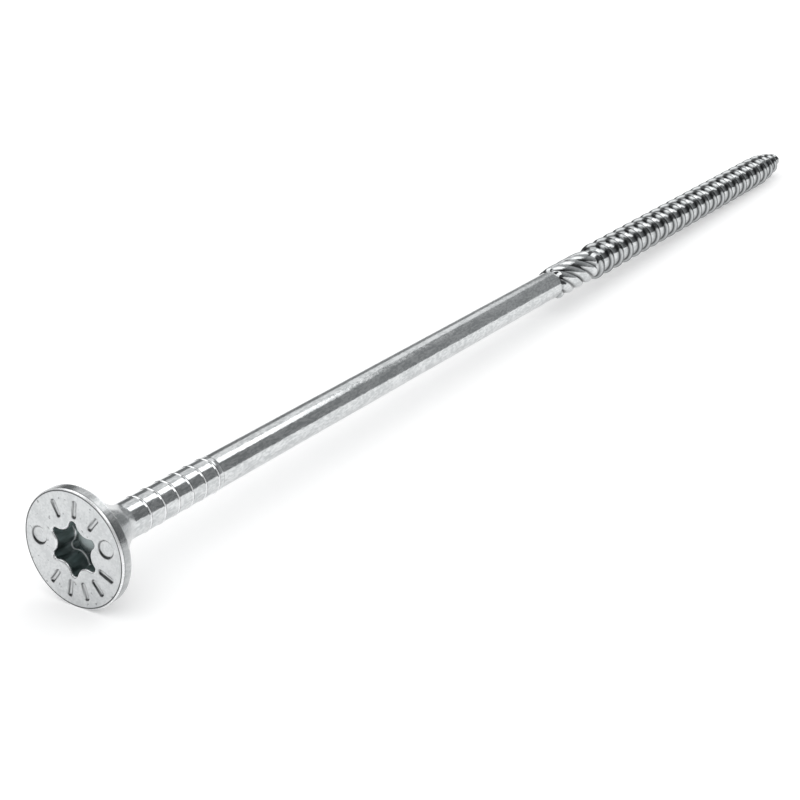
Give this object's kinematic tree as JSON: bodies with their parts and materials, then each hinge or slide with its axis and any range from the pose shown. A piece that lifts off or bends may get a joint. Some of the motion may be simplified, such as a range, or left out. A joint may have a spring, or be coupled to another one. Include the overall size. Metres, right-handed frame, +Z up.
{
  "type": "construction screw",
  "caption": "Long zinc-plated wood screw lying on its side, with a flat countersunk head, lobed drive socket, ringed neck, plain shank, shank cutter and coarse right-hand thread.",
  "frame": {"origin": "on the floor, under the middle of the lying screw's box", "axes": "+X from the head to the tip as the screw lies, +Z up"},
  "size_m": [0.2201, 0.0144, 0.0145],
  "materials": {
    "zinc": "bright blue-white zinc plate"
  },
  "bodies": {
    "root": {"screw": "zinc"}
  },
  "joints": []
}
